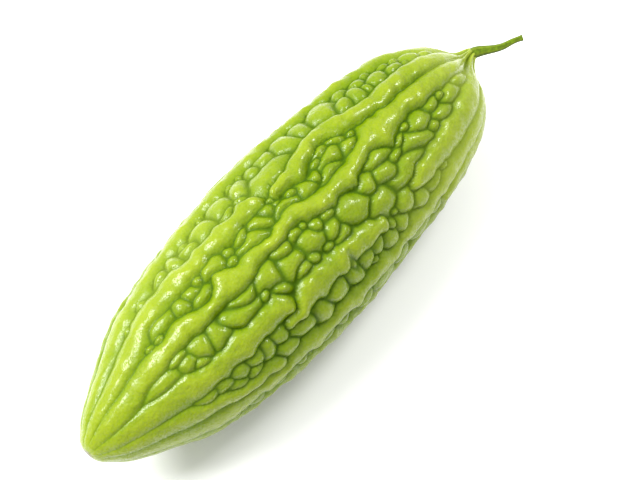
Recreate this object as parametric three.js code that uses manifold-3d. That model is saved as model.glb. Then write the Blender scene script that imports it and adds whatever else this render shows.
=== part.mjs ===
import * as THREE from 'three'
import { mergeVertices } from 'three/addons/utils/BufferGeometryUtils.js'
import Module from 'manifold-3d'

// A bitter gourd as picked, lying on its side. Lengths are in millimetres and angles in degrees.
// Its long axis lies along X, from the blossom tip at -X to the stalk at +X, and it lies on z = 0.
// A place on the skin is given by s, the distance along the axis from a point 2 mm inside the tip,
// and by a, the angle round the axis: 0 is the top, and a positive angle turns towards -Y.

// Driving dimensions: where the middle of the length is in s, and how high the axis lies
const middle = 114
const axisHeight = 34.8

// The creases' depth under the crests, and from 0 to 1 the height of the lanes between the ridges
const reliefDepth = 4.8
const laneFloor = 0.15

// How deep and how wide the fold is where two forms meet, as shares of their height
const creaseShare = 0.72
const creaseWidth = 0.2

// How far the ridges and warts swell past their edges, and the power that rounds their tops
const ridgeSwell = 1.28
const ridgeCap = 2.3
const wartSwell = 1.45
const wartCap = 2.2

// How irregular the forms are: sideways in millimetres, and as a share of their height
const swirlReach = 0.6
const lumpShare = 0.06

// How knobbly the ridges are at each s, smooth towards both ends
const restless = [[-2, 0], [25, 0.15], [60, 1], [145, 1], [180, 0.3], [214, 0.1]]

// Least radius by which angles become widths, near the two ends
const leastGirth = 4

// Fineness of the mesh, and the spread of the places that its relief is a mean of
const rings = 82
const segments = 70
const meanSamples = 6
const meanRadius = 0.8

// The fruit's outline over its crests, as pairs of s and radius
const outline = [
  [-2, 0], [-1.8, 2.4], [-1, 4.6], [0.3, 6.2], [2.5, 8.4], [5, 10.9], [10, 14.2], [20, 19.6],
  [35, 27.2], [55, 32.1], [80, 35.4], [110, 36.6], [140, 34.2], [160, 32.2], [175, 29.2],
  [185, 25.9], [193, 21.4], [199, 16.3], [202.5, 11.8], [205, 8.2], [207.5, 5.6], [210.5, 3.7],
  [213, 2.6], [213.8, 2.1], [214, 0],
]

// How far the middle of the fruit strays from the axis: s, y and height
const spine = [
  [-2, 1, -0.5], [3, 0.6, -0.3], [8, 0.2, 0], [20, 0, 0], [175, 0, 0], [190, -0.8, 0], [199, -1, 0],
  [205, -0.2, 0], [210, 0.7, 0], [214, 0.7, 0],
]

// Share of the relief's full depth at each s, less deep towards both ends
const depths = [
  [-2, 0], [6, 0.2], [15, 0.38], [28, 0.56], [45, 0.8], [65, 1], [150, 1], [178, 0.88],
  [192, 0.66], [203, 0.48], [209, 0.3], [214, 0],
]

// Smoother parts, where the creases are less deep: s, a, reach along s, reach in a, share lost
const calmParts = [[10, 85, 42, 42, 0.6], [188, 76, 32, 30, 0.62]]

// Ridges on the upper side, each a route of s, a and half its width in degrees
const upperRidges = [
  [[-9, -50, 14], [30, -50, 12], [60, -54, 9], [100, -55, 8], [150, -54, 8], [185, -50, 11],
    [215, -46, 14]],
  [[-9, -19, 13], [20, -19, 12.5], [32, -21, 12], [42, -26, 10], [50, -25, 11], [58, -24, 10],
    [66, -21, 9], [74, -20, 8.5], [82, -19.5, 8], [90, -18.5, 8], [97, -17, 6.5]],
  [[105, -13, 4], [110, -11, 5.5], [115, -12.5, 6.5], [120, -16, 7], [126, -19.5, 7],
    [132, -20.5, 7.5], [138, -19.5, 7.5], [145, -15.5, 9.5], [150, -12.5, 7.5], [154, -10.5, 6.5],
    [160, -10.5, 8.5], [170, -11, 9.5], [180, -12, 10], [190, -12, 11], [215, -13, 12]],
  [[-9, 8, 15], [15, 8, 15], [25, 6, 12], [35, 6, 9.5], [45, 5.5, 8.5], [52, 6.5, 8],
    [59.5, 10.5, 5], [64, 7.5, 8.5], [70, 6.5, 10.5], [76, 9, 9], [83, 8, 6.5], [88, 8.5, 4.5],
    [91, 9, 3.5], [95, 7, 6.5], [100, 6.5, 7], [106, 9, 7.5], [112, 13, 7.5], [120, 14.5, 7],
    [128, 14, 6.5], [133, 11.5, 6.5], [138, 9.5, 7], [143, 8, 9], [148, 7.5, 11], [152, 7, 11.5],
    [157, 6.5, 9.5], [163, 6.5, 8.5], [170, 7.5, 9], [178, 8, 10], [188, 8, 9.5], [215, 10, 11]],
  [[-9, 38, 13], [20, 38, 13], [33, 39, 12], [42, 42, 9.5], [50, 42, 9.5], [58, 41, 10.5],
    [66, 41, 9.5], [72, 41, 8.5], [76, 41, 8]],
  [[75, 53.5, 4], [80, 53, 6], [85, 48.5, 10], [90, 47.5, 10.5], [95, 46.5, 10], [100, 47, 9.5],
    [106, 48.5, 10.5], [111, 49, 10], [116, 49, 9], [121, 50.5, 9], [125, 52.5, 7]],
  [[147, 53, 6], [153, 50.5, 8.5], [160, 50, 10], [170, 49, 11], [180, 48, 12], [190, 46, 13],
    [215, 38, 13]],
  [[-9, 62, 10], [25, 62, 9.5], [40, 67, 6], [50, 72, 6], [58, 74, 8], [64, 74, 7]],
  [[-9, 85, 12], [30, 86, 11], [70, 82, 8.5], [110, 79, 8], [150, 77, 9], [162, 73, 9],
    [175, 70, 8.5], [190, 67, 9], [215, 60, 9]],
  [[158, 90, 5], [170, 88, 8], [190, 85, 9], [215, 78, 9]],
]

// Ridges round the sides and underneath follow a rule: a wavy route about each of these angles
const lowerRidges = [108, 138, 167, 193, 221, 250, 280]
const lowerHalfWidth = 8
const lowerSway = 2.6
const lowerEndHalfWidth = 15

// Large warts of the upper side, lane by lane between the ridges: from s, to s, from a, to a
const upperWarts = [
  [38, 48, -18, -7], [49, 55, -12, -3], [54, 61, -14, -5], [55, 63, -6, 3], [60, 65, -15, -8],
  [64, 74, -14, -3], [75, 79, -11, -5], [73, 78, -5, 0], [81, 88, -11, -5], [79, 93, -5, 4],
  [88, 97, -10, 1], [94, 100, -12, -4], [98, 109, -4, 4], [106, 111, -5, -1], [110, 118, -3, 5],
  [117, 121, -4, 3], [120, 129, 1, 8], [125, 132, -13, -7], [124, 135, -7, 1], [133, 139, -12, -6],
  [134, 141, -5, 4], [54, 61, -45, -36], [60, 66, -43, -31], [67, 75, -38, -30], [75, 84, -43, -27],
  [86, 93, -32, -25], [86, 95, -47, -31], [93, 99, -30, -24], [95, 103, -41, -27],
  [101, 120, -33, -18], [112, 120, -45, -33], [120, 130, -47, -29], [129, 138, -47, -30],
  [137, 150, -46, -27], [147, 155, -35, -21], [155, 161, -35, -20], [161, 165, -30, -20],
  [165, 174, -34, -20], [173, 181, -31, -20], [22, 35, 13, 28], [33, 41, 12, 20], [35, 43, 19, 29],
  [40, 46, 26, 33], [42, 50, 15, 31], [49, 57, 17, 34], [55, 70, 20, 31], [62, 75, 15, 24],
  [74, 85, 15, 29], [86, 94, 11, 20], [78, 84, 27, 37], [82, 95, 20, 33], [87, 95, 31, 40],
  [94, 99, 30, 37], [94, 100, 12, 20], [95, 106, 20, 32], [103, 108, 17, 24], [105, 113, 23, 35],
  [108, 115, 17, 26], [107, 114, 33, 42], [113, 128, 24, 38], [127, 135, 21, 33],
  [125, 137, 35, 50], [135, 146, 16, 25], [134, 144, 24, 36], [144, 151, 24, 30],
  [150, 155, 20, 25], [138, 156, 33, 46], [152, 165, 26, 37], [158, 170, 18, 29],
  [169, 177, 17, 26], [170, 179, 28, 38], [179, 189, 20, 31], [188, 196, 16, 28], [33, 41, 52, 59],
  [40, 47, 53, 61], [44, 51, 59, 67], [48, 55, 51, 60], [53, 58, 60, 69], [54, 62, 51, 61],
  [60, 66, 52, 64], [66, 72, 50, 60], [74, 85, 60, 70], [84, 93, 60, 73], [91, 101, 56, 69],
  [102, 109, 55, 70], [110, 117, 53, 66], [116, 123, 56, 67], [123, 130, 61, 75],
  [131, 137, 60, 72], [135, 143, 48, 63], [142, 150, 60, 72], [150, 158, 60, 70],
]

// Smaller warts fill what is left of the lanes: largest and smallest half widths of each pass
const wartZone = [30, 194]
const wartPasses = [[5.4, 3.9], [3.9, 2.7], [2.7, 1.6]]
const wartGrid = 1.6
const wartOverlap = 1.2
const wartHeight = 0.74
const wartBend = 0.26
const seed = 20

// The stalk: its route as s, y and height over the axis, then its radii
const stalkRoute = [
  [211, 0.9, 0], [214.6, -0.7, 0.8], [219, -5.2, 2.2], [222, -7.6, 3], [225.9, -9.4, 3.8],
  [229.2, -11.4, 4.4],
]
const rootRadius = 1.5
const rootLength = 3
const stalkRadii = [
  [0, 2.3], [0.18, 2.15], [0.4, 1.65], [0.62, 1.35], [0.8, 1.15], [0.93, 1.1], [1, 1.25],
]
const stalkRings = 16
const stalkSides = 15
const stalkRibs = 5
const stalkRibHeight = 0.07
const gap = 0.3
const cutDepth = 20

const wasm = await Module()
wasm.setup()

// Smooth wave through stations of [place, value, ...], for one of their columns
function along(stations, place, column) {
  const last = stations.length - 1
  let k = 0
  while (k < last - 1 && stations[k + 1][0] < place) k++
  const [before, from, to, after] = [k - 1, k, k + 1, k + 2].map(
    (n) => stations[THREE.MathUtils.clamp(n, 0, last)],
  )
  const span = to[0] - from[0]
  const t = THREE.MathUtils.clamp((place - from[0]) / span, 0, 1)
  const slopeFrom = ((to[column] - before[column]) / (to[0] - before[0])) * span
  const slopeTo = ((after[column] - from[column]) / (after[0] - from[0])) * span
  const t2 = t * t
  const t3 = t2 * t
  return (
    (2 * t3 - 3 * t2 + 1) * from[column] +
    (t3 - 2 * t2 + t) * slopeFrom +
    (3 * t2 - 2 * t3) * to[column] +
    (t3 - t2) * slopeTo
  )
}

// Repeatable random numbers from 0 to 1
function makeRandom(start) {
  let state = start
  return () => {
    state = (state * 1664525 + 1013904223) % 4294967296
    return state / 4294967296
  }
}

const random = makeRandom(seed)
const between = (low, high) => low + (high - low) * random()
const toRadians = THREE.MathUtils.degToRad

// Shortest signed turn between two angles
const turn = (from, to) => ((((to - from) % 360) + 540) % 360) - 180

const meridian = new THREE.SplineCurve(outline.map(([s, r]) => new THREE.Vector2(s, r)))

// Width in millimetres of one degree round the skin
function degreeWidth(s) {
  return Math.max(along(outline, s, 1), leastGirth) * toRadians(1)
}

// Depth of the creases under the crests, less in the smoother parts
function depthAt(s, a) {
  let share = 1
  for (const [s0, a0, length, width, loss] of calmParts) {
    share -= loss * Math.exp(-(((s - s0) / length) ** 2) - (turn(a0, a) / width) ** 2)
  }
  return reliefDepth * share * Math.max(along(depths, s, 1), 0)
}

// Irregular sideways shift of the ridges and warts, in millimetres round the skin
function swirl(s, a) {
  const r = toRadians(a)
  const shift = Math.sin(0.31 * s + 7 * r) + 0.7 * Math.sin(0.55 * s - 11 * r + 2)
  return swirlReach * along(restless, s, 1) * shift
}

// Irregular swelling of the skin, from about -1 to 1
function lumps(s, a) {
  const r = toRadians(a)
  const one = Math.sin(0.53 * s + 2 * Math.sin(5 * r)) * Math.sin(17 * r + 2 * Math.sin(0.17 * s))
  const two = Math.sin(0.91 * s - 9 * r) * Math.sin(0.36 * s + 21 * r + 1)
  return 0.6 * one + 0.4 * two
}

// A ridge is a long pillow with round ends
function ridge(route) {
  const wobble = between(0, 6)
  const first = route[0][0]
  const last = route[route.length - 1][0]
  const distance = (s, a, scale) => {
    const inside = THREE.MathUtils.clamp(s, first, last)
    const offset = turn(along(route, inside, 1), a)
    const phase = wobble + 2 * Math.sign(offset)
    const wave = 0.1 * Math.sin(0.57 * s + phase) + 0.06 * Math.sin(1.13 * s + 2 * phase)
    const half = along(route, inside, 2) * (1 + along(restless, s, 1) * wave)
    const beyond = (s - inside) / (half * scale)
    return { reach: Math.hypot(offset / half, beyond), size: half * scale }
  }
  const height = (s) => 0.91 + 0.06 * Math.sin(0.31 * s + 2 * wobble) + 0.03 * Math.sin(0.83 * s + wobble)
  return { from: first - 9, to: last + 9, swell: ridgeSwell, cap: ridgeCap, distance, height }
}

// A wart is an oval pillow, a little bent
function wart(s0, a0, halfLength, halfWidth, angle, height) {
  const bend = between(-wartBend, wartBend)
  const taper = between(-wartBend, wartBend)
  const cos = Math.cos(toRadians(angle))
  const sin = Math.sin(toRadians(angle))
  const distance = (s, a, scale) => {
    const x = s - s0
    const y = turn(a0, a) * scale
    const lengthwise = (x * cos + y * sin) / halfLength
    const across = (y * cos - x * sin) / halfWidth
    const reach = Math.hypot(lengthwise + taper * across ** 2, across + bend * lengthwise ** 2)
    return { reach, size: Math.hypot(x, y) / Math.max(reach, 0.001) }
  }
  const longest = Math.max(halfLength, halfWidth) * wartSwell
  const [from, to] = [s0 - longest, s0 + longest]
  return { from, to, swell: wartSwell, cap: wartCap, distance, height: () => height }
}

// Room from a place on the skin to the edge of the nearest ridge or wart
function roomAt(features, s, a, scale) {
  let room = wartPasses[0][0]
  for (const feature of features) {
    if (s < feature.from - room || s > feature.to + room) continue
    const { reach, size } = feature.distance(s, a, scale)
    room = Math.min(room, (reach - 1) * size)
    if (room < 0) return room
  }
  return room
}

// Small warts, largest first, wherever the ridges and the large warts leave room
function fillLanes(features) {
  const places = []
  for (let s = wartZone[0]; s < wartZone[1]; s += wartGrid) {
    const step = wartGrid / degreeWidth(s)
    for (let a = 0; a < 360; a += step) {
      places.push([s + wartGrid * random(), a + step * random(), random()])
    }
  }
  places.sort((one, other) => one[2] - other[2])
  for (const [most, least] of wartPasses) {
    for (const [s, a] of places) {
      const room = Math.min(roomAt(features, s, a, degreeWidth(s)), most)
      if (room < least) continue
      const size = room * wartOverlap
      const height = wartHeight * (0.8 + 0.05 * size) * between(0.92, 1.08)
      features.push(wart(s, a, size * between(1.05, 1.35), size, between(-40, 40), height))
    }
  }
}

// All ridges and warts of the fruit
function makeFeatures() {
  const features = upperRidges.map(ridge)
  for (const angle of lowerRidges) {
    const phase = between(0, 6)
    const route = [[-9, angle, lowerEndHalfWidth], [24, angle, lowerEndHalfWidth - 4]]
    for (let s = 46; s < 180; s += 11) {
      const sway = lowerSway * Math.sin(s / 15 + phase)
      route.push([s, angle + sway, lowerHalfWidth * between(0.8, 1.15)])
    }
    route.push([188, angle, lowerEndHalfWidth - 4], [215, angle, lowerEndHalfWidth])
    features.push(ridge(route))
  }
  for (const [s0, s1, a0, a1] of upperWarts) {
    const middleS = (s0 + s1) / 2
    const halfLength = ((s1 - s0) / 2) * wartOverlap
    const halfWidth = ((a1 - a0) / 2) * degreeWidth(middleS) * wartOverlap
    const girth = Math.min(halfWidth, halfLength)
    const height = wartHeight * (0.8 + 0.05 * girth) * between(0.95, 1.08)
    features.push(wart(middleS, (a0 + a1) / 2, halfLength, halfWidth, between(-20, 20), height))
  }
  fillLanes(features)
  return features
}

// Height of the skin over the bottom of the creases, from 0 to 1. Each ridge and wart swells
// a little past its edge, and where the two highest ones are alike the skin folds into a crease.
function reliefAt(features, s, a) {
  const scale = degreeWidth(s)
  const moved = a + swirl(s, a) / scale
  const lump = lumps(s, moved)
  let highest = 0
  let second = 0
  for (const feature of features) {
    if (s < feature.from || s > feature.to) continue
    const { reach } = feature.distance(s, moved, scale)
    const share = (reach / feature.swell) * (1 - lumpShare * lump)
    if (share >= 1) continue
    const cap = feature.height(s) * (1 - share ** feature.cap)
    second = Math.max(second, Math.min(cap, highest))
    highest = Math.max(highest, cap)
  }
  const fold = Math.exp((second - highest) / creaseWidth)
  const height = highest * (1 - creaseShare * fold) * (1 + lumpShare * (lump - 1))
  return Math.hypot(height, laneFloor)
}

// Mean height round a place, so that a mesh with few points keeps the forms that it can show
function meanReliefAt(features, s, a) {
  let sum = reliefAt(features, s, a)
  for (let k = 0; k < meanSamples; k++) {
    const angle = (2 * Math.PI * k) / meanSamples
    const ds = meanRadius * Math.cos(angle)
    const da = (meanRadius * Math.sin(angle)) / degreeWidth(s)
    sum += reliefAt(features, s + ds, a + da)
  }
  return sum / (meanSamples + 1)
}

// A closed mesh with shared vertices, without the folded triangles that poles leave
function closeMesh(geometry) {
  geometry.deleteAttribute('normal')
  geometry.deleteAttribute('uv')
  const merged = mergeVertices(geometry, 1e-4)
  const index = merged.index.array
  const kept = []
  for (let k = 0; k < index.length; k += 3) {
    const [i, j, l] = [index[k], index[k + 1], index[k + 2]]
    if (i !== j && j !== l && l !== i) kept.push(i, j, l)
  }
  merged.setIndex(kept)
  return merged
}

function toSolid(geometry) {
  const vertProperties = new Float32Array(geometry.attributes.position.array)
  const triVerts = new Uint32Array(geometry.index.array)
  return new wasm.Manifold(new wasm.Mesh({ numProp: 3, vertProperties, triVerts }))
}

function toGeometry(solid) {
  const mesh = solid.getMesh()
  const geometry = new THREE.BufferGeometry()
  geometry.setAttribute('position', new THREE.BufferAttribute(mesh.vertProperties, 3))
  geometry.setIndex(new THREE.BufferAttribute(mesh.triVerts, 1))
  geometry.computeVertexNormals()
  return geometry
}

// A lathe surface whose every point is moved by place(ring, angle in radians)
function shapedLathe(ringCount, sides, place) {
  const profile = []
  for (let ring = 0; ring <= ringCount; ring++) {
    profile.push(new THREE.Vector2(ring === 0 || ring === ringCount ? 0 : 1, ring))
  }
  const lathe = closeMesh(new THREE.LatheGeometry(profile, sides))
  const position = lathe.attributes.position
  for (let k = 0; k < position.count; k++) {
    const ring = Math.round(position.getY(k))
    const point = place(ring, Math.atan2(position.getX(k), position.getZ(k)))
    position.setXYZ(k, point.x, point.y, point.z)
  }
  return lathe
}

function makeFruit() {
  const features = makeFeatures()
  const halfStep = Math.PI / segments
  return shapedLathe(rings, segments, (ring, angle) => {
    const point = meridian.getPointAt(ring / rings)
    const tangent = meridian.getTangentAt(ring / rings)
    const round = angle + ring * halfStep
    const a = THREE.MathUtils.radToDeg(round)
    const rise = (meanReliefAt(features, point.x, a) - 1) * depthAt(point.x, a)
    const radius = point.y + tangent.x * rise
    const x = point.x - tangent.y * rise - middle
    const y = along(spine, point.x, 1) - radius * Math.sin(round)
    const z = axisHeight + along(spine, point.x, 2) + radius * Math.cos(round)
    return new THREE.Vector3(x, y, z)
  })
}

// The stalk, or with a margin the socket that its root sits in
function makeStalk(margin) {
  const route = stalkRoute.map(([s, y, z]) => new THREE.Vector3(s - middle, y, axisHeight + z))
  const path = new THREE.CatmullRomCurve3(route)
  const steps = stalkRings - 2
  const frames = path.computeFrenetFrames(steps)
  const rootShare = rootLength / path.getLength()
  return shapedLathe(stalkRings, stalkSides, (ring, angle) => {
    const step = THREE.MathUtils.clamp(ring - 1, 0, steps)
    const share = step / steps
    const rib = 1 + stalkRibHeight * Math.cos(stalkRibs * angle)
    const radius = share < rootShare ? rootRadius : along(stalkRadii, share, 1) * rib
    const reach = ring === 0 || ring === stalkRings ? 0 : radius + margin
    const across = frames.normals[step].clone().multiplyScalar(Math.cos(angle) * reach)
    const up = frames.binormals[step].clone().multiplyScalar(Math.sin(angle) * reach)
    const back = frames.tangents[step].clone().multiplyScalar(step === 0 ? -margin : 0)
    return path.getPointAt(share).add(across).add(up).add(back)
  })
}

const skin = new THREE.MeshStandardMaterial({ color: 0x9dbb23, roughness: 0.42, metalness: 0 })
const stem = new THREE.MeshStandardMaterial({ color: 0x6f9a1e, roughness: 0.6, metalness: 0 })

// A box that takes off all that lies under the surface that the gourd rests on
function makeFloorCut() {
  const cut = new THREE.BoxGeometry(4 * middle, 2 * middle, cutDepth)
  return closeMesh(cut.translate(0, 0, -cutDepth / 2))
}

function addPiece(group, name, geometry, material) {
  const mesh = new THREE.Mesh(geometry, material)
  mesh.name = name
  group.add(mesh)
}

const fruitSolid = toSolid(makeFruit()).subtract(toSolid(makeFloorCut())).subtract(toSolid(makeStalk(gap)))
const stalkSolid = toSolid(makeStalk(0))

const gourd = new THREE.Group()
addPiece(gourd, 'fruit', toGeometry(fruitSolid), skin)
addPiece(gourd, 'stalk', toGeometry(stalkSolid), stem)

export default gourd
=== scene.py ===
import math

import bmesh
import bpy
import numpy as np
from bpy.props import FloatProperty, FloatVectorProperty, IntProperty, PointerProperty
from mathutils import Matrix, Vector


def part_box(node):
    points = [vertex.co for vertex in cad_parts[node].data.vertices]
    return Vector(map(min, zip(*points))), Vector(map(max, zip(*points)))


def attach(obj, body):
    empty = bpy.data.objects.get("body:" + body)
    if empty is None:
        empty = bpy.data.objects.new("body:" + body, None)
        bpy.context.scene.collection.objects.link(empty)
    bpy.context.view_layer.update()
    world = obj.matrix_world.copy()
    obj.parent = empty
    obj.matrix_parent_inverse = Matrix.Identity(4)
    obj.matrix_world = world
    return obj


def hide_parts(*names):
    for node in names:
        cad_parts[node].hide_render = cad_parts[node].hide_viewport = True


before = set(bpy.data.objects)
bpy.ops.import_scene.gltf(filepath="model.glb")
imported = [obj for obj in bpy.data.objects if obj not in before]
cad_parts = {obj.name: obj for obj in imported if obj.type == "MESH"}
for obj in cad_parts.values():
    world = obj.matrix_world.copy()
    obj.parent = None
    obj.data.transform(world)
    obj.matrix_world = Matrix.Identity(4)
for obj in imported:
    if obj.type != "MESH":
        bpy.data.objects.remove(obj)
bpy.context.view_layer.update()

bl_info = {
    "name": "Bitter Gourd",
    "version": (1, 0, 0),
    "blender": (4, 5, 0),
    "location": "3D View > Sidebar > Gourd",
    "description": "Builds a bitter gourd with its ridges, warts and stalk, and a plain studio round it",
    "category": "Add Mesh",
}

# The gourd lies along X on z = 0, with its blossom tip at -X and its stalk at +X.
# A place on the skin is given by s, the distance in millimetres along the axis from a point 2 mm
# inside the tip, and by a, the angle in degrees round the axis: 0 is the top, and it grows towards -Y.
# MIDDLE is the s of x = 0, worked out from where the frame's fruit begins. Lengths are in millimetres
# and angles in degrees, and only the studio and the settings are in metres.

MM = 0.001
TIP = -2
MIDDLE = round(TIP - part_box("fruit")[0].x / MM, 1)
AXIS_HEIGHT = 34.8

# The fruit's outline over its crests, as pairs of s and radius
OUTLINE = [
    (-2, 0), (-1.8, 2.4), (-1, 4.6), (0.3, 6.2), (2.5, 8.4), (5, 10.9), (10, 14.2), (20, 19.6),
    (35, 27.2), (55, 32.1), (80, 35.4), (110, 36.6), (140, 34.2), (160, 32.2), (175, 29.2),
    (185, 25.9), (193, 21.4), (199, 16.3), (202.5, 11.8), (205, 8.2), (207.5, 5.6), (210.5, 3.7),
    (213, 2.6), (213.8, 2.1), (214, 0),
]

# How far the middle of the fruit strays from the axis: s, y and height
SPINE = [
    (-2, 1, -0.5), (3, 0.6, -0.3), (8, 0.2, 0), (20, 0, 0), (175, 0, 0), (190, -0.8, 0),
    (199, -1, 0), (205, -0.2, 0), (210, 0.7, 0), (214, 0.7, 0),
]

# Least radius by which angles become widths, near the two ends
LEAST_GIRTH = 4

# Ridges on the upper side, each a route of s, a and half its width in degrees
UPPER_RIDGES = [
    [(-9, -50, 14), (30, -50, 12), (60, -54, 9), (100, -55, 8), (150, -54, 8), (185, -50, 11),
     (215, -46, 14)],
    [(-9, -19, 13), (20, -19, 12.5), (32, -21, 12), (42, -26, 10), (50, -25, 11), (58, -24, 10),
     (66, -21, 9), (74, -20, 8.5), (82, -19.5, 8), (90, -18.5, 8), (97, -17, 6.5)],
    [(105, -13, 4), (110, -11, 5.5), (115, -12.5, 6.5), (120, -16, 7), (126, -19.5, 7),
     (132, -20.5, 7.5), (138, -19.5, 7.5), (145, -15.5, 9.5), (150, -12.5, 7.5), (154, -10.5, 6.5),
     (160, -10.5, 8.5), (170, -11, 9.5), (180, -12, 10), (190, -12, 11), (215, -13, 12)],
    [(-9, 8, 15), (15, 8, 15), (25, 6, 12), (35, 6, 9.5), (45, 5.5, 8.5), (52, 6.5, 8),
     (59.5, 10.5, 5), (64, 7.5, 8.5), (70, 6.5, 10.5), (76, 9, 9), (83, 8, 6.5), (88, 8.5, 4.5),
     (91, 9, 3.5), (95, 7, 6.5), (100, 6.5, 7), (106, 9, 7.5), (112, 13, 7.5), (120, 14.5, 7),
     (128, 14, 6.5), (133, 11.5, 6.5), (138, 9.5, 7), (143, 8, 9), (148, 7.5, 11), (152, 7, 11.5),
     (157, 6.5, 9.5), (163, 6.5, 8.5), (170, 7.5, 9), (178, 8, 10), (188, 8, 9.5), (215, 10, 11)],
    [(-9, 38, 13), (20, 38, 13), (33, 39, 12), (42, 42, 9.5), (50, 42, 9.5), (58, 41, 10.5),
     (66, 41, 9.5), (72, 41, 8.5), (76, 41, 8)],
    [(75, 53.5, 4), (80, 53, 6), (85, 48.5, 10), (90, 47.5, 10.5), (95, 46.5, 10), (100, 47, 9.5),
     (106, 48.5, 10.5), (111, 49, 10), (116, 49, 9), (121, 50.5, 9), (125, 52.5, 7)],
    [(147, 53, 6), (153, 50.5, 8.5), (160, 50, 10), (170, 49, 11), (180, 48, 12), (190, 46, 13),
     (215, 38, 13)],
    [(-9, 62, 10), (25, 62, 9.5), (40, 67, 6), (50, 72, 6), (58, 74, 8), (64, 74, 7)],
    [(-9, 85, 12), (30, 86, 11), (70, 82, 8.5), (110, 79, 8), (150, 77, 9), (162, 73, 9),
     (175, 70, 8.5), (190, 67, 9), (215, 60, 9)],
    [(158, 90, 5), (170, 88, 8), (190, 85, 9), (215, 78, 9)],
]

# Ridges round the sides and underneath follow a rule: a wavy route about each of these angles
LOWER_RIDGES = [108, 138, 167, 193, 221, 250, 280]
LOWER_STATIONS = range(46, 180, 11)
LOWER_HALF_WIDTH = 8
LOWER_WIDTH_SHARES = (0.8, 1.15)
LOWER_SWAY = 2.6
LOWER_WAVE = 15

# The same ridges towards both ends, where they run straight: s and half the width in degrees
LOWER_TIP_END = [(-9, 15), (24, 11)]
LOWER_NECK_END = [(188, 11), (215, 15)]

# How far along s a ridge still shapes the skin past the ends of its route
RIDGE_REACH = 9

# Large warts of the upper side, lane by lane between the ridges: from s, to s, from a, to a
UPPER_WARTS = [
    # About -5 degrees
    (38, 48, -18, -7), (49, 55, -12, -3), (54, 61, -14, -5), (55, 63, -6, 3), (60, 65, -15, -8),
    (64, 74, -14, -3), (75, 79, -11, -5), (73, 78, -5, 0), (81, 88, -11, -5), (79, 93, -5, 4),
    (88, 97, -10, 1), (94, 100, -12, -4), (98, 109, -4, 4), (106, 111, -5, -1), (110, 118, -3, 5),
    (117, 121, -4, 3), (120, 129, 1, 8), (125, 132, -13, -7), (124, 135, -7, 1),
    (133, 139, -12, -6), (134, 141, -5, 4),
    # About -35 degrees
    (54, 61, -45, -36), (60, 66, -43, -31), (67, 75, -38, -30), (75, 84, -43, -27),
    (86, 93, -32, -25), (86, 95, -47, -31), (93, 99, -30, -24), (95, 103, -41, -27),
    (101, 120, -33, -18), (112, 120, -45, -33), (120, 130, -47, -29), (129, 138, -47, -30),
    (137, 150, -46, -27), (147, 155, -35, -21), (155, 161, -35, -20), (161, 165, -30, -20),
    (165, 174, -34, -20), (173, 181, -31, -20),
    # About 25 degrees
    (22, 35, 13, 28), (33, 41, 12, 20), (35, 43, 19, 29), (40, 46, 26, 33), (42, 50, 15, 31),
    (49, 57, 17, 34), (55, 70, 20, 31), (62, 75, 15, 24), (74, 85, 15, 29), (86, 94, 11, 20),
    (78, 84, 27, 37), (82, 95, 20, 33), (87, 95, 31, 40), (94, 99, 30, 37), (94, 100, 12, 20),
    (95, 106, 20, 32), (103, 108, 17, 24), (105, 113, 23, 35), (108, 115, 17, 26),
    (107, 114, 33, 42), (113, 128, 24, 38), (127, 135, 21, 33), (125, 137, 35, 50),
    (135, 146, 16, 25), (134, 144, 24, 36), (144, 151, 24, 30), (150, 155, 20, 25),
    (138, 156, 33, 46), (152, 165, 26, 37), (158, 170, 18, 29), (169, 177, 17, 26),
    (170, 179, 28, 38), (179, 189, 20, 31), (188, 196, 16, 28),
    # About 62 degrees
    (33, 41, 52, 59), (40, 47, 53, 61), (44, 51, 59, 67), (48, 55, 51, 60), (53, 58, 60, 69),
    (54, 62, 51, 61), (60, 66, 52, 64), (66, 72, 50, 60), (74, 85, 60, 70), (84, 93, 60, 73),
    (91, 101, 56, 69), (102, 109, 55, 70), (110, 117, 53, 66), (116, 123, 56, 67),
    (123, 130, 61, 75), (131, 137, 60, 72), (135, 143, 48, 63), (142, 150, 60, 72),
    (150, 158, 60, 70),
]
UPPER_WART_TILT = 20
UPPER_WART_HEIGHTS = (0.95, 1.08)

# Smaller warts fill what is left of the lanes, on this stretch of the fruit. Each pass has its own
# largest and smallest half widths, and the lengths are shares of the width.
WART_ZONE = (30, 194)
WART_PASSES = [(5.4, 3.9), (3.9, 2.7), (2.7, 1.6), (1.6, 1.1)]
WART_GRID = 1.6
SMALL_WART_TILT = 40
SMALL_WART_HEIGHTS = (0.92, 1.08)
SMALL_WART_LENGTHS = (1.05, 1.35)

# Heights as shares of the relief: of a ridge, and of a wart, which is less high the slimmer it is
RIDGE_HEIGHT = 0.91
WART_HEIGHT = 0.74
SLIM_WART_SHARE = 0.8
WART_SHARE_PER_MM = 0.05

# How far a wart overlaps its neighbours, how bent it may be, and the seed of all random draws
WART_OVERLAP = 1.2
WART_BEND = 0.26
SEED = 20

# How far the ridges and warts swell past their edges, and the power that rounds their tops
RIDGE_SWELL = 1.28
RIDGE_CAP = 2.3
WART_SWELL = 1.45
WART_CAP = 2.2

# How irregular the forms are: sideways in millimetres, and as a share of their height
SWIRL = 0.6
LUMPS = 0.06

# How knobbly the ridges are at each s: smooth towards both ends
RESTLESS = [(-2, 0), (25, 0.15), (60, 1), (145, 1), (180, 0.3), (214, 0.1)]

# From 0 to 1: the height of bare lanes, and how deep and how wide the fold is where two forms meet
LANE_FLOOR = 0.15
CREASE_SHARE = 0.42
CREASE_WIDTH = 0.2

# Share of the relief's full depth at each s, less deep towards both ends
DEPTHS = [
    (-2, 0), (6, 0.2), (15, 0.38), (28, 0.56), (45, 0.8), (65, 1), (150, 1), (178, 0.88),
    (192, 0.66), (203, 0.48), (209, 0.3), (214, 0),
]

# Smoother parts, where the creases are less deep: s, a, reach along s, reach in a, share lost
CALM_PARTS = [(10, 85, 42, 42, 0.6), (188, 76, 32, 30, 0.62)]

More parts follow.
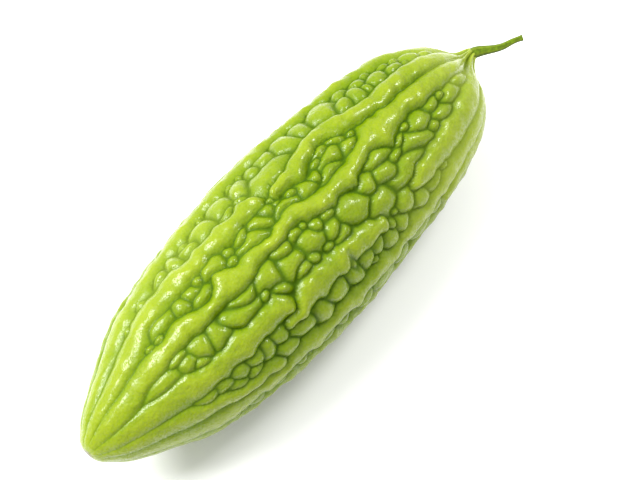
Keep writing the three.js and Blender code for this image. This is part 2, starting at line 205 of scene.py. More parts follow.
# Points of the mesh move onto a crease within their reach. In millimetres: the length of fruit where
# they do, the reach, the least distance left between two points, and the step that slopes are read by
CREASED_LENGTH = 190
CREASE_REACH = 0.45
LEAST_SPACING = 0.34
PROBE = 0.01

# Least numbers to divide by: a slope squared, how far the skin faces outwards, and a distance in
# half widths from the middle of a wart
LEAST_RISE = 1e-6
LEAST_FACING = 0.3
LEAST_REACH = 0.001

# How much of the corners along the creases the one smoothing pass takes off
SMOOTHING = 0.5

# The neck grows pale over its length, and ends in fine ribs with painted shade in the grooves between
# them
NECK_START = 178
NECK_LENGTH = 26
NECK_RIBS = 9
NECK_RIB_HEIGHT = 0.3
NECK_RIB_ZONE = [(-2, 0), (196, 0), (206, 1), (211, 1), (214, 0)]
NECK_GROOVE_SHADE = 0.35

# Paler parts of the skin: s, a, reach along s, reach in a, share of the pale colour. The first lies by
# the neck; the second, on the flank at a = -40, is a painted pool of light
PALE_AND_LIT_PARTS = [(178, 78, 38, 30, 0.75), (60, -40, 55, 22, 0.3)]

# The power by which the creases' dark colour and painted shade, and the crests' painted highlight, fade
# where the creases are less deep, and the scar's reach
CREASE_FADING = 0.3
SCAR_LENGTH = 0.2

# The stalk: its route as s, y and height over the axis, then its radii along that route, and the
# rings of its flat cut end as shares of the last radius
STALK_ROUTE = [
    (211, 0.9, 0), (214.6, -0.7, 0.8), (219, -5.2, 2.2), (222, -7.6, 3), (225.9, -9.4, 3.8),
    (229.2, -11.4, 4.4),
]
STALK_RADII = [
    (0, 2.3), (0.18, 2.15), (0.4, 1.65), (0.62, 1.35), (0.8, 1.15), (0.93, 1.1), (1, 1.25),
]
CUT_RINGS = (0.9, 0.5, 0)

# Steps of a smooth curve between two of its stations
CURVE_STEPS = 40

# Noise of the skin and the stalk, from soft clouds to fine grain: scale and detail
CLOUDS = (60.0, 3.0)
SWELLS = (240.0, 2.0)
PORES = (480.0, 2.0)
GRAIN = (900.0, 3.0)
FINE_GRAIN = (2000.0, 2.0)

# Shares of the skin's colours, and of the stalk's. The crests' pale colour is partly a painted
# highlight, the creases' colour partly painted shade, and the neck's pale colour also a painted pool of
# light.
CREST_HIGHLIGHT_SHARE = 0.5
CREASE_SHADE = 0.9
PALE_AND_LIT_SHARE = 0.85
STALK_SHADE = 0.6
FIBRE_SHADE = 0.35

# Heights of the skin, from 0 in the creases to 1 on the crests, where each look begins and is full (the
# crests' painted highlight, the creases' partly painted shade and the coat), and how far the clouds, the
# grain and the fold of a crease change the height that the looks follow
CREST_RANGE = (0.4, 1.1)
CREASE_RANGE = (0.5, 0.0)
COAT_RANGE = (0.25, 0.7)
CLOUD_SHARE = 0.3
GRAIN_SHARE = 0.4
FOLD_SHARE = 0.25

# Values of the noise where the skin's glossy specks and the stalk's lighter grain begin and are full
SPECK_RANGE = (0.4, 0.62)
STALK_GRAIN_RANGE = (0.35, 0.7)

# The studio in metres: where its two lights stand, how large they are, and how far the floor
# reaches. The camera's sensor is in millimetres.
KEY_PLACE = (-0.32, 0.38, 0.66)
KEY_SIZE = 0.5
FRONT_PLACE = (0.42, -0.12, 0.6)
FRONT_SIZE = 0.2
FLOOR_REACH = 3
FLOOR_SQUARES = 8
SENSOR_WIDTH = 36


class GourdFruitSettings(bpy.types.PropertyGroup):
    """Sizes and colours of the fruit."""

    relief_depth: FloatProperty(
        name="Relief depth",
        description="Depth of the creases under the crests of the ridges",
        default=0.0048,
        min=0.0,
        unit="LENGTH",
    )
    rings: IntProperty(name="Rings", description="Rows of points along the fruit", default=330, min=20)
    sides: IntProperty(name="Sides", description="Points round each row", default=284, min=16)
    crest_color: FloatVectorProperty(
        name="Crest colour",
        description="Main colour of the ridges and warts",
        subtype="COLOR",
        default=(0.114, 0.186, 0.0001),
    )
    # The crests' pale colour is random mottling and also a painted highlight on the tops of the ridges
    # and warts
    mottle_and_highlight_color: FloatVectorProperty(
        name="Pale colour",
        description="Colour of the mottling on the crests",
        subtype="COLOR",
        default=(0.3, 0.35, 0.014),
    )
    # Darker green of the creases, partly the skin's own tint and partly painted shade
    crease_tint_and_shade_color: FloatVectorProperty(
        name="Crease colour",
        description="Colour at the bottom of the creases",
        subtype="COLOR",
        default=(0.034, 0.082, 0.0),
    )
    # Pale colour of the neck, also laid on the flank at a = -40 as a painted pool of light
    pale_tone_and_light_color: FloatVectorProperty(
        name="Neck colour",
        description="Colour of the neck and of the paler parts of the skin",
        subtype="COLOR",
        default=(0.29, 0.36, 0.035),
    )
    scar_color: FloatVectorProperty(
        name="Scar colour",
        description="Colour of the dry scar at the blossom tip",
        subtype="COLOR",
        default=(0.09, 0.07, 0.01),
    )


class GourdStalkSettings(bpy.types.PropertyGroup):
    """Sizes and colours of the stalk."""

    sides: IntProperty(name="Sides", description="Points round the stalk", default=60, min=8)
    steps: IntProperty(name="Steps", description="Rows of points along the stalk", default=72, min=8)
    ribs: IntProperty(name="Ribs", description="Lengthwise ribs round the stalk", default=5, min=0)
    rib_height: FloatProperty(
        name="Rib height",
        description="Height of a rib as a share of the radius",
        default=0.07,
        min=0.0,
    )
    color: FloatVectorProperty(
        name="Stalk colour",
        description="Main colour of the stalk",
        subtype="COLOR",
        default=(0.1, 0.165, 0.001),
    )
    cut_color: FloatVectorProperty(
        name="Cut colour",
        description="Colour of the dried cut end and of the fibres",
        subtype="COLOR",
        default=(0.2, 0.24, 0.02),
    )


class GourdStudioSettings(bpy.types.PropertyGroup):
    """The camera, the lights and the floor."""

    azimuth: FloatProperty(
        name="Azimuth",
        description="Where the camera stands round the gourd",
        subtype="ANGLE",
        default=math.radians(-49.59),
    )
    elevation: FloatProperty(
        name="Elevation",
        description="How steeply the camera looks down",
        subtype="ANGLE",
        default=math.radians(64),
    )
    distance: FloatProperty(
        name="Distance",
        description="From the camera to its aim",
        default=0.6536,
        unit="LENGTH",
    )
    lens: FloatProperty(
        name="Lens",
        description="Focal length in millimetres",
        default=100.0,
        unit="CAMERA",
    )
    aim: FloatVectorProperty(
        name="Aim",
        description="What the camera and the lights point at",
        subtype="XYZ",
        unit="LENGTH",
        default=(-0.001, -0.0073, 0.0363),
    )
    key_power: FloatProperty(
        name="Key light",
        description="Power of the large light",
        default=12.0,
        unit="POWER",
    )
    front_power: FloatProperty(
        name="Front light",
        description="Power of the small light",
        default=2.8,
        unit="POWER",
    )
    sky: FloatProperty(name="Sky", description="Strength of the white surroundings", default=0.86)
    floor_color: FloatVectorProperty(
        name="Floor colour",
        description="Colour of the floor",
        subtype="COLOR",
        default=(0.9, 0.9, 0.9),
    )


# Smooth curves


def curve_weights(t):
    """Weights of a curve's start, its slope there, its end and its slope there, at t from 0 to 1."""
    return (2 * t**3 - 3 * t**2 + 1, t**3 - 2 * t**2 + t, 3 * t**2 - 2 * t**3, t**3 - t**2)


def along(stations, place, column):
    """Smooth wave through stations of (place, value, ...), for one of their columns."""
    places, values = np.array(stations, dtype=float).T[[0, column]]
    last = len(stations) - 1
    k = np.clip(np.searchsorted(places, place) - 1, 0, last - 1)
    before = np.maximum(k - 1, 0)
    after = np.minimum(k + 2, last)
    span = places[k + 1] - places[k]
    slope_start = (values[k + 1] - values[before]) / (places[k + 1] - places[before]) * span
    slope_end = (values[after] - values[k]) / (places[after] - places[k]) * span
    start, rise, end, fall = curve_weights(np.clip((place - places[k]) / span, 0, 1))
    return start * values[k] + rise * slope_start + end * values[k + 1] + fall * slope_end


def curved(stations):
    """Many points along the smooth curve through the stations."""
    points = []
    last = len(stations) - 1
    for k in range(last):
        before, one, two, after = (Vector(stations[min(max(n, 0), last)]) for n in range(k - 1, k + 3))
        for step in range(CURVE_STEPS):
            start, rise, end, fall = curve_weights(step / CURVE_STEPS)
            point = one * start + (two - before) / 2 * rise + two * end + (after - one) / 2 * fall
            points.append(point)
    points.append(Vector(stations[-1]))
    return points


def spaced(stations, count):
    """Points spaced evenly along the smooth curve through the stations."""
    fine = curved(stations)
    lengths = [0.0]
    for one, two in zip(fine, fine[1:]):
        lengths.append(lengths[-1] + (two - one).length)
    points = []
    k = 0
    for n in range(count + 1):
        wanted = lengths[-1] * n / count
        while k < len(fine) - 2 and lengths[k + 1] < wanted:
            k += 1
        share = (wanted - lengths[k]) / (lengths[k + 1] - lengths[k])
        points.append(fine[k].lerp(fine[k + 1], min(share, 1)))
    return points


# Places on the skin


def turn(start, end):
    """Shortest signed turn in degrees between two angles."""
    return (end - start + 180) % 360 - 180


def degree_width(s):
    """Width in millimetres of one degree round the skin."""
    return np.radians(np.maximum(along(OUTLINE, s, 1), LEAST_GIRTH))


def patch(s, a, middle, angle, length, width):
    """A soft oval patch of the skin: 1 in its middle, and 0 well outside it."""
    return np.exp(-(((s - middle) / length) ** 2) - (turn(angle, a) / width) ** 2)


def depth_share(s, a):
    """Share of the relief's full depth, less at both ends and in the smoother parts."""
    share = 1
    for *oval, loss in CALM_PARTS:
        share = share - loss * patch(s, a, *oval)
    return share * np.maximum(along(DEPTHS, s, 1), 0)


def paleness(s, a, ribbed, rib):
    """How pale the skin is: towards the neck, in the paler part by the neck, and in a painted pool of
    light on the flank at a = -40.

    The neck has painted shade in the grooves between its fine ribs: ribbed is 1 where it has them, and
    rib goes from -1 in a groove to 1 on a rib.
    """
    # Painted shade in the grooves between the neck's ribs
    groove = NECK_GROOVE_SHADE * ribbed * (1 - rib)
    pale = np.clip((s - NECK_START) / NECK_LENGTH, 0, 1) * (1 - groove)
    for *oval, most in PALE_AND_LIT_PARTS:
        pale = pale + (1 - pale) * (most * patch(s, a, *oval))
    return pale


def swirl(s, a):
    """Irregular sideways shift of the ridges and warts, in millimetres round the skin."""
    r = np.radians(a)
    waves = np.sin(0.31 * s + 7 * r) + 0.7 * np.sin(0.55 * s - 11 * r + 2)
    return SWIRL * along(RESTLESS, s, 1) * waves


def lumps(s, a):
    """Irregular swelling of the skin, from about -1 to 1."""
    r = np.radians(a)
    one = np.sin(0.53 * s + 2 * np.sin(5 * r)) * np.sin(17 * r + 2 * np.sin(0.17 * s))
    two = np.sin(0.91 * s - 9 * r) * np.sin(0.36 * s + 21 * r + 1)
    return 0.6 * one + 0.4 * two


# Ridges and warts


class Dice:
    """Repeatable random numbers, each worked out from the one before."""

    factor = 1664525
    step = 1013904223
    limit = 4294967296

    def __init__(self, seed):
        self.state = seed

    def roll(self):
        """A number from 0 to 1."""
        self.state = (self.state * self.factor + self.step) % self.limit
        return self.state / self.limit

    def between(self, low, high):
        """A number from low to high."""
        return low + (high - low) * self.roll()

    def phase(self):
        """Where a wave starts, in radians."""
        return self.between(0, 6)


class Ridge:
    """A long pillow with round ends."""

    swell = RIDGE_SWELL
    cap = RIDGE_CAP

    def __init__(self, route, dice):
        self.route = route
        self.wobble = dice.phase()
        self.start = route[0][0] - RIDGE_REACH
        self.end = route[-1][0] + RIDGE_REACH

    def measure(self, s, a):
        """How many half widths places are from the ridge's middle, and that half width."""
        inside = np.clip(s, self.route[0][0], self.route[-1][0])
        offset = turn(along(self.route, inside, 1), a)
        phase = self.wobble + 2 * np.sign(offset)
        wave = 0.1 * np.sin(0.57 * s + phase) + 0.06 * np.sin(1.13 * s + 2 * phase)
        half = along(self.route, inside, 2) * (1 + along(RESTLESS, s, 1) * wave)
        size = half * degree_width(s)
        return np.hypot(offset / half, (s - inside) / size), size

    def height(self, s):
        """How high the ridge's crest is at s, as a share of the relief."""
        long_wave = 0.06 * np.sin(0.31 * s + 2 * self.wobble)
        short_wave = 0.03 * np.sin(0.83 * s + self.wobble)
        return RIDGE_HEIGHT + long_wave + short_wave


class Wart:
    """An oval pillow, a little bent."""

    swell = WART_SWELL
    cap = WART_CAP

    def __init__(self, s, a, half_length, half_width, tilt, height, dice):
        self.s = s
        self.a = a
        self.half_length = half_length
        self.half_width = half_width
        self.cos = math.cos(math.radians(tilt))
        self.sin = math.sin(math.radians(tilt))
        self.top = height
        self.bend = dice.between(-WART_BEND, WART_BEND)
        self.taper = dice.between(-WART_BEND, WART_BEND)
        longest = max(half_length, half_width) * WART_SWELL
        self.start = s - longest
        self.end = s + longest

    def measure(self, s, a):
        """How many half widths places are from the wart's middle, and the half width that way."""
        x = s - self.s
        y = turn(self.a, a) * degree_width(s)
        lengthwise = (x * self.cos + y * self.sin) / self.half_length
        across = (y * self.cos - x * self.sin) / self.half_width
        reach = np.hypot(lengthwise + self.taper * across**2, across + self.bend * lengthwise**2)
        return reach, np.hypot(x, y) / np.maximum(reach, LEAST_REACH)

    def height(self, s):
        """How high the wart's top is, as a share of the relief."""
        return self.top


def wart_height(girth, luck):
    """Height of a wart's top: the wider the wart, the higher."""
    return WART_HEIGHT * (SLIM_WART_SHARE + WART_SHARE_PER_MM * girth) * luck


def near(feature, s, margin):
    """Which places lie within a margin of a feature, along the gourd."""
    return np.flatnonzero((s >= feature.start - margin) & (s <= feature.end + margin))


def take_room(room, feature, s, a):
    """Lowers the room that places have left, in millimetres, to what a feature leaves them."""
    some = near(feature, s, WART_PASSES[0][0])
    reach, size = feature.measure(s[some], a[some])
    room[some] = np.minimum(room[some], (reach - 1) * size)


def shuffled_places(dice):
    """Places for small warts: a loose grid all round the fruit, in random order."""
    places = []
    for s in np.arange(*WART_ZONE, WART_GRID):
        step = WART_GRID / degree_width(s)
        a = 0
        while a < 360:
            places.append((s + WART_GRID * dice.roll(), a + step * dice.roll(), dice.roll()))
            a += step
    places.sort(key=lambda place: place[2])
    s, a, _ = np.array(places).T
    return s, a


def fill_lanes(features, dice):
    """Small warts, largest first, wherever the ridges and the large warts leave room."""
    s, a = shuffled_places(dice)
    room = np.full_like(s, WART_PASSES[0][0])
    for feature in features:
        take_room(room, feature, s, a)
    for most, least in WART_PASSES:
        for k in range(len(s)):
            if room[k] < least:
                continue
            half_width = min(room[k], most) * WART_OVERLAP
            height = wart_height(half_width, dice.between(*SMALL_WART_HEIGHTS))
            half_length = half_width * dice.between(*SMALL_WART_LENGTHS)
            tilt = dice.between(-SMALL_WART_TILT, SMALL_WART_TILT)
            wart = Wart(s[k], a[k], half_length, half_width, tilt, height, dice)
            features.append(wart)
            take_room(room, wart, s, a)


def lower_ridge(angle, dice):
    """A wavy ridge of the sides or the underside, about an angle."""
    phase = dice.phase()
    route = [(s, angle, half_width) for s, half_width in LOWER_TIP_END]
    for s in LOWER_STATIONS:
        sway = LOWER_SWAY * math.sin(s / LOWER_WAVE + phase)
        route.append((s, angle + sway, LOWER_HALF_WIDTH * dice.between(*LOWER_WIDTH_SHARES)))
    route += [(s, angle, half_width) for s, half_width in LOWER_NECK_END]
    return Ridge(route, dice)


def upper_wart(start, end, low, high, dice):
    """A large wart of the upper side, from one s to another and from one angle to another."""
    middle = (start + end) / 2
    half_length = (end - start) / 2 * WART_OVERLAP
    half_width = (high - low) / 2 * degree_width(middle) * WART_OVERLAP
    height = wart_height(min(half_width, half_length), dice.between(*UPPER_WART_HEIGHTS))
    tilt = dice.between(-UPPER_WART_TILT, UPPER_WART_TILT)
    return Wart(middle, (low + high) / 2, half_length, half_width, tilt, height, dice)


def make_features():
    """All ridges and warts of the fruit."""
    dice = Dice(SEED)
    features = [Ridge(route, dice) for route in UPPER_RIDGES]
    features += [lower_ridge(angle, dice) for angle in LOWER_RIDGES]
    features += [upper_wart(*edges, dice) for edges in UPPER_WARTS]
    fill_lanes(features, dice)
    return features


# The relief of the skin


def folding(gap):
    """How folded the skin is, from 0 to 1, where one form stands over the next by a gap."""
    return np.exp(-((gap / CREASE_WIDTH) ** 2))


def relief(features, s, a):
    """Height of the skin over the bottom of the creases, from 0 to 1, and how far the highest
    form stands over the next one, which is 0 along a crease.

    Each ridge and wart swells a little past its edge, and where the two highest ones are alike
    the skin folds into a crease.
    """
    a = a + swirl(s, a) / degree_width(s)
    lump = lumps(s, a)
    highest = np.zeros_like(s)
    second = np.zeros_like(s)
    for feature in features:
        some = near(feature, s, 0)
        reach = feature.measure(s[some], a[some])[0] / feature.swell * (1 - LUMPS * lump[some])
        form = feature.height(s[some]) * (1 - np.minimum(reach, 1) ** feature.cap)
        second[some] = np.maximum(second[some], np.minimum(form, highest[some]))
        highest[some] = np.maximum(highest[some], form)
    gap = highest - second
    height = highest * (1 - CREASE_SHARE * folding(gap)) * (1 + LUMPS * (lump - 1))
    return np.hypot(height, LANE_FLOOR), gap


def crease_moves(features, s, a, ends):
    """Moves along and round the skin, in millimetres, that take points next to a crease onto it.

    Of two points that would meet, the one that is further from the crease stays.
    """
    width = degree_width(s)
    gap = relief(features, s, a)[1]
    lengthwise = (relief(features, s + PROBE, a)[1] - gap) / PROBE
    across = (relief(features, s, a + PROBE / width)[1] - gap) / PROBE
    rise = np.maximum(lengthwise**2 + across**2, LEAST_RISE)
    moves = np.stack([lengthwise, across]) * (-gap / rise)
    moves[:, np.hypot(*moves) > CREASE_REACH] = 0
    lengths = np.hypot(*moves)
    one, other = ends
    apart_s = s[one] + moves[0, one] - s[other] - moves[0, other]
    apart_a = turn(a[other], a[one]) * width[one] + moves[1, one] - moves[1, other]
    meet = (lengths[one] > 0) & (lengths[other] > 0) & (np.hypot(apart_s, apart_a) < LEAST_SPACING)
    moves[:, np.where(lengths[one] > lengths[other], one, other)[meet]] = 0
    return moves


def shape_skin(bm, full_depth):
    """Where the points of the turned fruit go, in millimetres, and what the skin shows there."""
    bm.verts.index_update()
    ends = np.array([[vert.index for vert in edge.verts] for edge in bm.edges]).T
    place = np.array([vert.co for vert in bm.verts]) / MM
    normal = np.array([vert.normal for vert in bm.verts])
    s = place[:, 0] + MIDDLE
    round_axis = np.arctan2(-place[:, 1], place[:, 2] - AXIS_HEIGHT)
    a = np.degrees(round_axis)
    outward = np.stack([0 * a, -np.sin(round_axis), np.cos(round_axis)], axis=1)
    sideways = np.stack([0 * a, -np.cos(round_axis), -np.sin(round_axis)], axis=1)

    features = make_features()
    lengthwise, across = crease_moves(features, s, a, ends) * (abs(s - MIDDLE) < CREASED_LENGTH / 2)
    slope = -normal[:, 0] / np.maximum(np.sum(normal * outward, axis=1), LEAST_FACING)
    place[:, 0] += lengthwise
    place += outward * (slope * lengthwise)[:, None] + sideways * across[:, None]
    s += lengthwise
    a += across / degree_width(s)

    height, gap = relief(features, s, a)
    share = depth_share(s, a)
    ribbed = along(NECK_RIB_ZONE, s, 1)
    rib = np.cos(np.radians(NECK_RIBS * a))
    place += normal * (full_depth * share * (height - 1) + NECK_RIB_HEIGHT * ribbed * rib)[:, None]
    place[:, 1] += along(SPINE, s, 1)
    place[:, 2] += along(SPINE, s, 2)
    # Nothing sinks below the surface that the gourd lies on
    place[:, 2] = np.maximum(place[:, 2], 0)

    # The crest and fold looks carry, among others, the crests' painted highlight and the creases'
    # painted shade
    shown = share**CREASE_FADING
    looks = {
        "crest": 1 - (1 - height) * shown,
        "fold": folding(gap) * shown,
        "neck": paleness(s, a, ribbed, rib),
        "scar": np.exp(-(((s - TIP) / SCAR_LENGTH) ** 2)),
    }
    return place, looks


# Materials


class Shader:
    """A material's node tree, written as expressions on its sockets."""

    def __init__(self, name):
        self.material = bpy.data.materials.new(name)
        self.material.use_nodes = True
        self.tree = self.material.node_tree

    def feed(self, node, sockets):
        """Gives each socket of a node, by its name or its number, a link or a value."""
        for key, value in sockets.items():
            if isinstance(value, Value):
                self.tree.links.new(value.socket, node.inputs[key])
            elif isinstance(value, bpy.types.NodeSocket):
                self.tree.links.new(value, node.inputs[key])
            else:
                node.inputs[key].default_value = value

    def node(self, kind, settings, sockets):
        """A node of one kind: its settings first, then the values or links of its sockets."""
        made = self.tree.nodes.new(kind)
        for key, setting in settings.items():
            setattr(made, key, setting)
        self.feed(made, sockets)
        return made

    def math(self, operation, *operands):
        """A number worked out from one or two others."""
        made = self.node("ShaderNodeMath", {"operation": operation}, dict(enumerate(operands)))
        return Value(self, made.outputs[0])

    def mix(self, factor, first, second):
        """A colour between two colours, whose sockets on this node are numbers 6, 7 and 2."""
        made = self.node("ShaderNodeMix", {"data_type": "RGBA"}, {0: factor, 6: first, 7: second})
        return made.outputs[2]

    def ramp(self, value, low, high):
        """0 at low, 1 at high, and a smooth step between them."""
        settings = {"interpolation_type": "SMOOTHSTEP"}
        sockets = {"Value": value, "From Min": low, "From Max": high}
        return Value(self, self.node("ShaderNodeMapRange", settings, sockets).outputs["Result"])

    def position(self):
        """Object coordinates."""
        return self.node("ShaderNodeTexCoord", {}, {}).outputs["Object"]

    def noise(self, where, scale, detail):
        """Soft noise from 0 to 1."""
        made = self.node("ShaderNodeTexNoise", {}, {"Vector": where, "Scale": scale, "Detail": detail})
        return Value(self, made.outputs["Fac"])

    def attribute(self, name):
        """A number that the mesh holds for each of its points."""
        made = self.node("ShaderNodeAttribute", {"attribute_name": name}, {})
        return Value(self, made.outputs["Fac"])

    def bump(self, height, strength, distance):
        """The normal of a surface with fine relief."""
        sockets = {"Height": height, "Strength": strength, "Distance": distance}
        return self.node("ShaderNodeBump", {}, sockets).outputs["Normal"]

    def finish(self, sockets):
        """Feeds the sockets of the surface itself."""
        self.feed(self.tree.nodes["Principled BSDF"], sockets)
        return self.material


class Value:
    """A shader socket that holds a number."""

    def __init__(self, shader, socket):
        self.shader = shader
        self.socket = socket

    def __add__(self, other):
        return self.shader.math("ADD", self, other)

    def __sub__(self, other):
        return self.shader.math("SUBTRACT", self, other)

    def __rsub__(self, other):
        return self.shader.math("SUBTRACT", other, self)

    def __mul__(self, other):
        return self.shader.math("MULTIPLY", self, other)

    __radd__ = __add__
    __rmul__ = __mul__


def color(value, shade=1):
    """A setting's colour for a socket, darker where the shade is under 1."""
    return (*(shade * part for part in value), 1.0)


def skin_material(settings):
    """Waxy green skin: darker green with painted shade in the creases, mottling and a painted highlight
    on the crests, pale towards the neck, and a painted pool of light on one flank.
    """
    shader = Shader("gourd_skin")
    where = shader.position()
    height = shader.attribute("crest")
    fold = shader.attribute("fold")
    neck = shader.attribute("neck")
    scar = shader.attribute("scar")
    cloud = shader.noise(where, *CLOUDS)
    swell = shader.noise(where, *SWELLS)
    pores = shader.noise(where, *PORES)
    grain = shader.noise(where, *GRAIN)
    fine = shader.noise(where, *FINE_GRAIN)

    # Painted highlight: the higher the crest, the paler, with mottling from the clouds and the grain
    highlight_and_mottle_level = height + (cloud - 0.5) * CLOUD_SHARE + (grain - 0.5) * GRAIN_SHARE
    high = shader.ramp(highlight_and_mottle_level, *CREST_RANGE)
    # Painted shade, partly the skin's own darker tint: darker down in the creases and along their folds
    deep = shader.ramp(height - FOLD_SHARE * fold, *CREASE_RANGE)
    body = shader.mix(high * CREST_HIGHLIGHT_SHARE, color(settings.crest_color), color(settings.mottle_and_highlight_color))
    body = shader.mix(deep * CREASE_SHADE, body, color(settings.crease_tint_and_shade_color))
    # Pale neck, and a painted pool of light on the flank at a = -40
    body = shader.mix(neck * PALE_AND_LIT_SHARE, body, color(settings.pale_tone_and_light_color))
    body = shader.mix(scar, body, color(settings.scar_color))
    return shader.finish({
        "Base Color": body,
        "Roughness": 0.2 + 0.2 * grain + 0.35 * deep,
        "Normal": shader.bump(0.4 * swell + 0.3 * pores + 0.16 * grain + 0.08 * fine, 1.0, 0.001),
        "Coat Weight": shader.ramp(height, *COAT_RANGE) * shader.ramp(fine, *SPECK_RANGE),
        "Coat Roughness": 0.2,
        "Specular IOR Level": 0.08,
        "Subsurface Weight": 0.08,
        "Subsurface Radius": (0.0012, 0.002, 0.0003),
        "Subsurface Scale": 1.0,
    })


def stalk_material(settings):
    """Olive green stem with fine lengthwise fibres and a pale, dry cut end."""
    shader = Shader("gourd_stalk")
    cut = shader.attribute("cut")
    fibre = shader.attribute("fibre")
    grain = shader.noise(shader.position(), *GRAIN)
    dark = color(settings.color, STALK_SHADE)
    body = shader.mix(shader.ramp(grain, *STALK_GRAIN_RANGE), dark, color(settings.color))
    body = shader.mix(fibre * FIBRE_SHADE, body, color(settings.cut_color))
    body = shader.mix(cut, body, color(settings.cut_color))
    return shader.finish({
        "Base Color": body,
        "Roughness": 0.5 + 0.2 * grain,
        "Normal": shader.bump(grain, 0.3, 0.0002),
        "Specular IOR Level": 0.15,
    })


def floor_material(settings):
    """Plain pale floor."""
    return Shader("floor_white").finish({"Base Color": color(settings.floor_color), "Roughness": 0.9})


# Meshes


def turned(bm, profile, sides, height):
    """A closed surface turned about the X axis at a height, from points of x and radius."""
    line = [bm.verts.new((x, 0, height + radius)) for x, radius in profile]
    edges = [bm.edges.new(pair) for pair in zip(line, line[1:])]
    bmesh.ops.spin(
        bm,
        geom=line + edges,
        cent=(0, 0, height),
        axis=(1, 0, 0),
        angle=math.tau,
        steps=sides,
        use_merge=True,
    )
    bmesh.ops.remove_doubles(bm, verts=bm.verts, dist=1e-7)
    bmesh.ops.recalc_face_normals(bm, faces=bm.faces)
    bm.normal_update()


def split_along_creases(bm, height):
    """Cuts each four-sided face between its two lower corners, so that creases stay unbroken."""
    for face in list(bm.faces):
        corners = face.verts
        if len(corners) == 4:
            first = corners[0][height] + corners[2][height] > corners[1][height] + corners[3][height]
            bmesh.utils.face_split(face, corners[first], corners[first + 2])


def stalk_sections(steps):
    """Middle points along the stalk in millimetres, each with two directions across it."""
    route = spaced([(s - MIDDLE, y, AXIS_HEIGHT + height) for s, y, height in STALK_ROUTE], steps)
    across = Vector((0, 1, 0))
    sections = []
    for step, middle in enumerate(route):
        ahead = (route[min(step + 1, steps)] - route[max(step - 1, 0)]).normalized()
        across = (across - ahead * across.dot(ahead)).normalized()
        sections.append((middle, across, ahead.cross(across)))
    return sections


def finish_piece(bm, name, material, node):
    """Makes the mesh an object of the part, in place of a node of the frame."""
    mesh = bpy.data.meshes.new(name)
    bm.to_mesh(mesh)
    bm.free()
    for polygon in mesh.polygons:
        polygon.use_smooth = True
    piece = bpy.data.objects.new(name, mesh)
    bpy.context.scene.collection.objects.link(piece)
    mesh.materials.append(material)
    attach(piece, "root")
    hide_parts(node)


# Pieces of the gourd


class GOURD_OT_fruit(bpy.types.Operator):
    """Add the fruit: a turned outline whose skin sinks into creases between ridges and warts"""

    bl_idname = "gourd.fruit"
    bl_label = "Add fruit"

    def execute(self, context):
        settings = context.scene.gourd_fruit
        bm = bmesh.new()
        layers = {name: bm.verts.layers.float.new(name) for name in ("crest", "fold", "neck", "scar")}
        profile = [((s - MIDDLE) * MM, radius * MM) for s, radius in spaced(OUTLINE, settings.rings)]
        turned(bm, profile, settings.sides, AXIS_HEIGHT * MM)
        place, looks = shape_skin(bm, settings.relief_depth / MM)
        for k, vert in enumerate(bm.verts):
            vert.co = place[k] * MM
            for name, layer in layers.items():
                vert[layer] = looks[name][k]
        bmesh.ops.smooth_vert(
            bm,
            verts=bm.verts,
            factor=SMOOTHING,
            use_axis_x=True,
            use_axis_y=True,
            use_axis_z=True,
        )
        split_along_creases(bm, layers["crest"])
        finish_piece(bm, "gourd_fruit", skin_material(settings), "fruit")
        return {"FINISHED"}


class GOURD_OT_stalk(bpy.types.Operator):
    """Add the stalk: a ribbed stem turned as a rod and then bent along its route"""

    bl_idname = "gourd.stalk"
    bl_label = "Add stalk"

    def execute(self, context):
        settings = context.scene.gourd_stalk
        last = settings.steps
        bm = bmesh.new()
        cut = bm.verts.layers.float.new("cut")
        fibre = bm.verts.layers.float.new("fibre")
        rod = [(step, along(STALK_RADII, step / last, 1)) for step in range(last + 1)]
        end = [(last + 1 + k, rod[-1][1] * share) for k, share in enumerate(CUT_RINGS)]
        turned(bm, [(0, 0)] + rod + end, settings.sides, 0)
        sections = stalk_sections(last)
        for vert in bm.verts:
            x, y, z = vert.co
            angle = math.atan2(z, y)
            rib = math.cos(settings.ribs * angle)
            radius = math.hypot(y, z) * (1 + settings.rib_height * rib)
            middle, across, up = sections[min(round(x), last)]
            vert.co = (middle + across * radius * math.cos(angle) + up * radius * math.sin(angle)) * MM
            vert[fibre] = max(rib, 0)
            vert[cut] = float(x > last + 0.5)
        bmesh.ops.recalc_face_normals(bm, faces=bm.faces)
        finish_piece(bm, "gourd_stalk", stalk_material(settings), "stalk")
        return {"FINISHED"}


# Studio


def add_camera(settings):
    """The camera, which looks at its aim from a distance."""
    camera = bpy.data.cameras.new("camera")
    camera.lens = settings.lens
    camera.sensor_width = SENSOR_WIDTH
    view = bpy.data.objects.new("camera", camera)
    back = Vector((
        math.sin(settings.azimuth) * math.cos(settings.elevation),
        -math.cos(settings.azimuth) * math.cos(settings.elevation),
        math.sin(settings.elevation),
    ))
    view.location = Vector(settings.aim) + back * settings.distance
    view.rotation_euler = back.to_track_quat("Z", "Y").to_euler()
    bpy.context.scene.collection.objects.link(view)
    bpy.context.scene.camera = view


def add_light(name, place, aim, size, power):
    """A square light that faces a point."""
    light = bpy.data.lights.new(name, "AREA")
    light.size = size
    light.energy = power
    lamp = bpy.data.objects.new(name, light)
    lamp.location = place
    lamp.rotation_euler = (Vector(aim) - Vector(place)).to_track_quat("-Z", "Y").to_euler()
    bpy.context.scene.collection.objects.link(lamp)


def add_sky(strength):
    """White surroundings."""
    world = bpy.data.worlds.new("studio")
    world.use_nodes = True
    background = world.node_tree.nodes["Background"]
    background.inputs["Color"].default_value = (1, 1, 1, 1)
    background.inputs["Strength"].default_value = strength
    bpy.context.scene.world = world


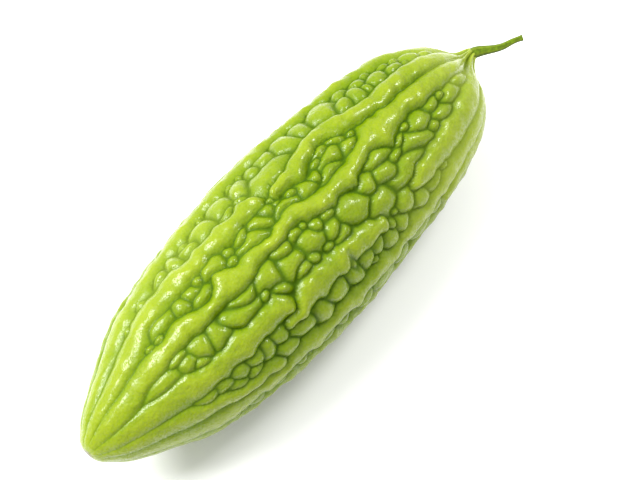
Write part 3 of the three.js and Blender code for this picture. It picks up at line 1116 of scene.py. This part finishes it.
def add_floor(settings):
    """A wide flat floor under the gourd."""
    bm = bmesh.new()
    bmesh.ops.create_grid(bm, x_segments=FLOOR_SQUARES, y_segments=FLOOR_SQUARES, size=FLOOR_REACH)
    mesh = bpy.data.meshes.new("floor")
    bm.to_mesh(mesh)
    bm.free()
    mesh.materials.append(floor_material(settings))
    floor = bpy.data.objects.new("floor", mesh)
    bpy.context.scene.collection.objects.link(floor)


class GOURD_OT_studio(bpy.types.Operator):
    """Add the plain studio: camera, soft lights, white surroundings and floor"""

    bl_idname = "gourd.studio"
    bl_label = "Add studio"

    def execute(self, context):
        settings = context.scene.gourd_studio
        add_camera(settings)
        add_light("key", KEY_PLACE, settings.aim, KEY_SIZE, settings.key_power)
        add_light("front", FRONT_PLACE, settings.aim, FRONT_SIZE, settings.front_power)
        add_sky(settings.sky)
        add_floor(settings)
        context.scene.view_settings.view_transform = "Standard"
        return {"FINISHED"}


# Panel and start


class GOURD_PT_panel(bpy.types.Panel):
    """Sizes, colours and buttons of the gourd"""

    bl_idname = "GOURD_PT_panel"
    bl_label = "Bitter gourd"
    bl_space_type = "VIEW_3D"
    bl_region_type = "UI"
    bl_category = "Gourd"

    def draw(self, context):
        for group in (context.scene.gourd_fruit, context.scene.gourd_stalk, context.scene.gourd_studio):
            box = self.layout.box()
            for name in group.bl_rna.properties.keys():
                if name not in ("rna_type", "name"):
                    box.prop(group, name)
        for operator in (GOURD_OT_fruit, GOURD_OT_stalk, GOURD_OT_studio):
            self.layout.operator(operator.bl_idname)


CLASSES = (
    GourdFruitSettings,
    GourdStalkSettings,
    GourdStudioSettings,
    GOURD_OT_fruit,
    GOURD_OT_stalk,
    GOURD_OT_studio,
    GOURD_PT_panel,
)


def register():
    for cls in CLASSES:
        bpy.utils.register_class(cls)
    bpy.types.Scene.gourd_fruit = PointerProperty(type=GourdFruitSettings)
    bpy.types.Scene.gourd_stalk = PointerProperty(type=GourdStalkSettings)
    bpy.types.Scene.gourd_studio = PointerProperty(type=GourdStudioSettings)


def unregister():
    del bpy.types.Scene.gourd_fruit
    del bpy.types.Scene.gourd_stalk
    del bpy.types.Scene.gourd_studio
    for cls in reversed(CLASSES):
        bpy.utils.unregister_class(cls)


def main():
    register()
    bpy.ops.gourd.fruit()
    bpy.ops.gourd.stalk()
    bpy.ops.gourd.studio()
    bpy.context.view_layer.update()


if __name__ == "__main__":
    main()
